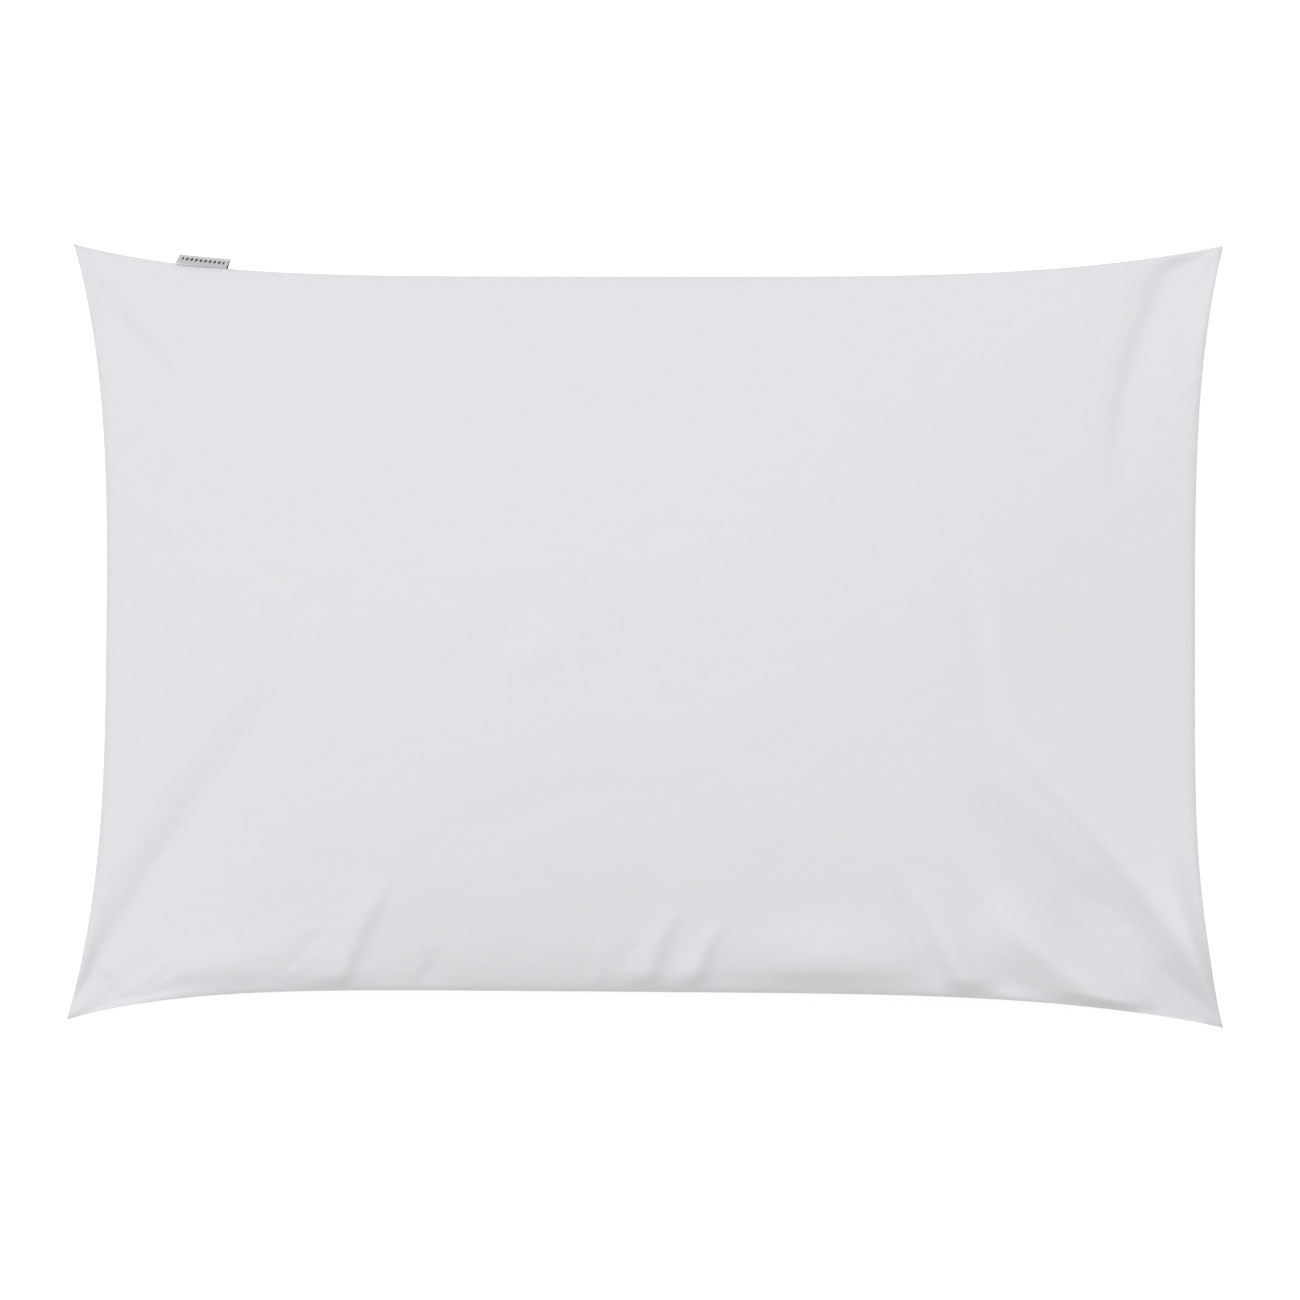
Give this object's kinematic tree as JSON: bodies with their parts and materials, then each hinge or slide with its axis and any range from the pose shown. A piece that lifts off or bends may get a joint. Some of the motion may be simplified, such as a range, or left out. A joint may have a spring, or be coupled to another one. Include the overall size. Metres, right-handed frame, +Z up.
{
  "type": "pillow protector",
  "caption": "White cotton pillow protector filled with its pillow: a soft crowned rectangle with drawn-in sides, pointed corners and a small grey side label.",
  "frame": {"origin": "on the surface that the pillow rests on, under the middle of its outline", "axes": "+X along the length, +Y towards the back side that holds the label, +Z up, out of the crown of the upper panel"},
  "size_m": [0.7336, 0.4972, 0.1112],
  "materials": {
    "cover_cloth": "matt white cotton percale, fine plain weave",
    "label_ribbon": "satin light grey woven ribbon"
  },
  "bodies": {
    "root": {"cover": "cover_cloth", "label": "label_ribbon"}
  },
  "joints": []
}
